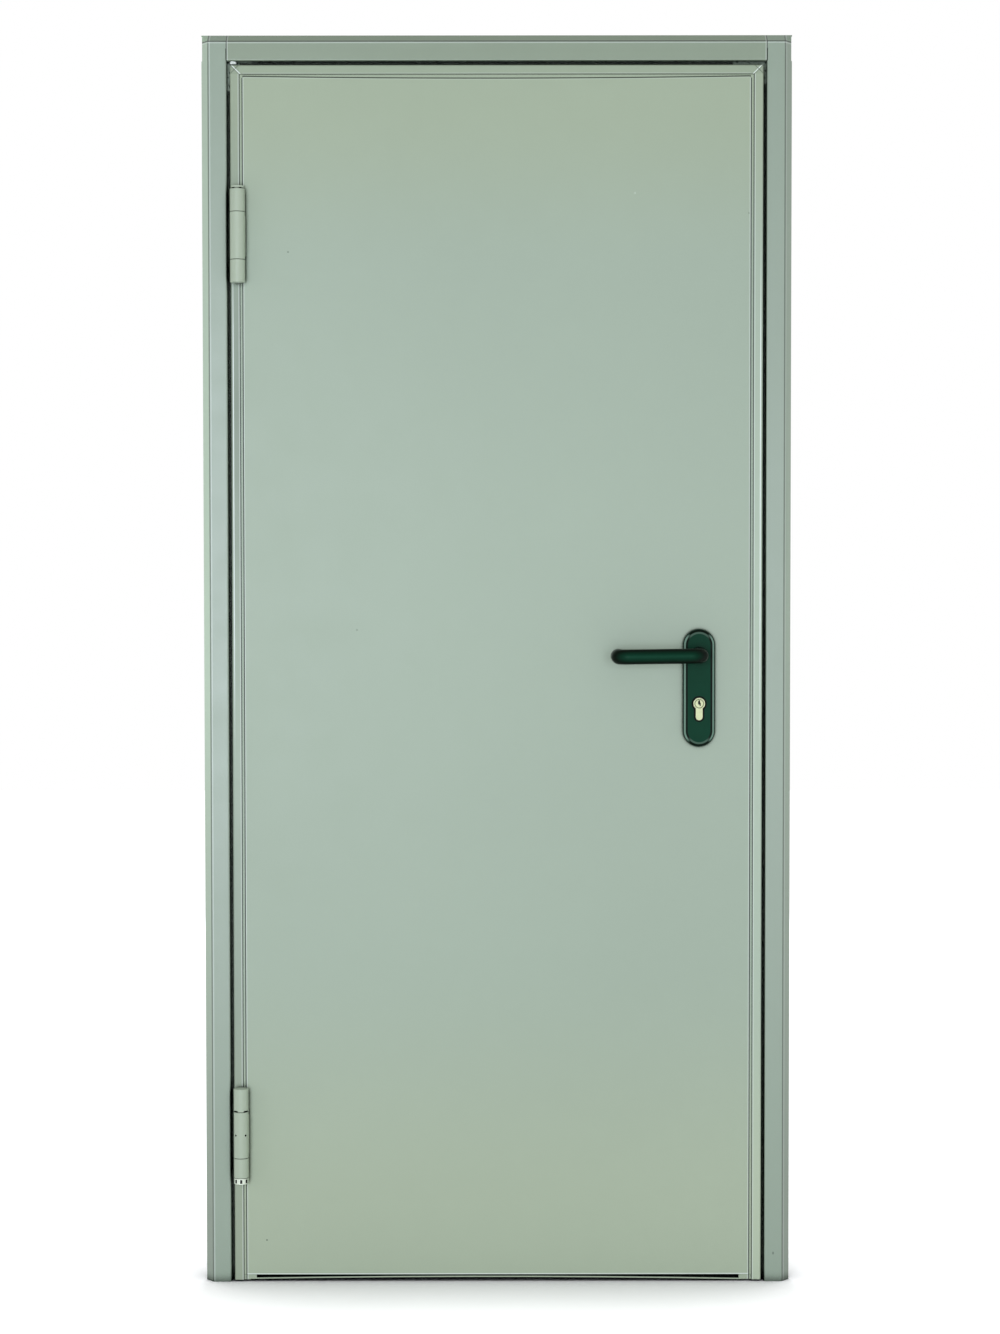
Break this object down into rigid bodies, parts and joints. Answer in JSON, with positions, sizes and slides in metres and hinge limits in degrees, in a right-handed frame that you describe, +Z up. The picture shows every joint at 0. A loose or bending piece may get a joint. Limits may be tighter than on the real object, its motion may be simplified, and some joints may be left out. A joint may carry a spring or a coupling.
{
  "type": "steel security door with frame",
  "caption": "Single-leaf steel security door in a folded steel corner frame, with round lever handles, a profile cylinder and pin hinges, one of them sprung.",
  "frame": {"origin": "on the floor, in the flat underside of the foot of the hinge jamb, 30 mm behind the wall's face", "axes": "+X from the hinges to the lock, +Y from the front of the door into the wall, +Z up"},
  "size_m": [0.871, 0.2, 1.8495],
  "materials": {
    "frame_paint": "satin",
    "leaf_paint": "satin",
    "hinge_paint": "satin",
    "zinc_steel": "satin",
    "gasket_rubber": "matte",
    "mineral_core": "matte",
    "lever_green": "satin",
    "cylinder_nickel": "satin"
  },
  "bodies": {
    "frame": {"hinge_jamb": "frame_paint", "lock_jamb": "frame_paint", "header": "frame_paint", "hinge_jamb_foot": "zinc_steel", "lock_jamb_foot": "zinc_steel", "hinge_side_sleeves": "zinc_steel", "lock_side_sleeves": "zinc_steel", "strike_box": "zinc_steel", "hinge_jamb_gasket": "gasket_rubber", "lock_jamb_gasket": "gasket_rubber", "header_gasket": "gasket_rubber", "upper_hinge_frame_knuckles": "hinge_paint", "lower_hinge_frame_knuckles": "hinge_paint", "upper_hinge_pin": "zinc_steel", "lower_hinge_pin": "zinc_steel", "upper_hinge_cap": "hinge_paint", "spring_ring": "zinc_steel"},
    "leaf": {"leaf_front_sheet": "leaf_paint", "leaf_tray": "leaf_paint", "leaf_core": "mineral_core", "bottom_end_blocks": "leaf_paint", "bottom_strip": "leaf_paint", "upper_hinge_leaf_knuckle": "hinge_paint", "lower_hinge_leaf_knuckle": "hinge_paint", "dog_bolts": "zinc_steel", "lock_case": "zinc_steel", "lock_front_plate": "zinc_steel", "latch_bolt": "zinc_steel", "dead_bolt": "zinc_steel", "outer_backplate": "lever_green", "inner_backplate": "lever_green", "lock_cylinder": "cylinder_nickel", "inner_key_plug": "cylinder_nickel"},
    "lever": {"outer_lever": "lever_green", "inner_lever": "lever_green", "spindle": "zinc_steel"},
    "key_plug": {"outer_key_plug": "cylinder_nickel"}
  },
  "joints": [
    {"name": "leaf_swing", "type": "hinge", "parent": "frame", "child": "leaf", "pos_m": [0.012, -0.056, 0.9], "axis": [0, 0, -1], "range_deg": [0, 175], "stiffness_Nm_per_rad": 5, "springref_deg": -45.84},
    {"name": "lever_turn", "type": "hinge", "parent": "leaf", "child": "lever", "pos_m": [0.6915, -0.0135, 0.936], "axis": [0, -1, 0], "range_deg": [0, 38], "stiffness_Nm_per_rad": 1.2, "springref_deg": -28.65},
    {"name": "key_plug_turn", "type": "hinge", "parent": "leaf", "child": "key_plug", "pos_m": [0.6915, -0.0445, 0.864], "axis": [0, 1, 0], "continuous": true}
  ]
}
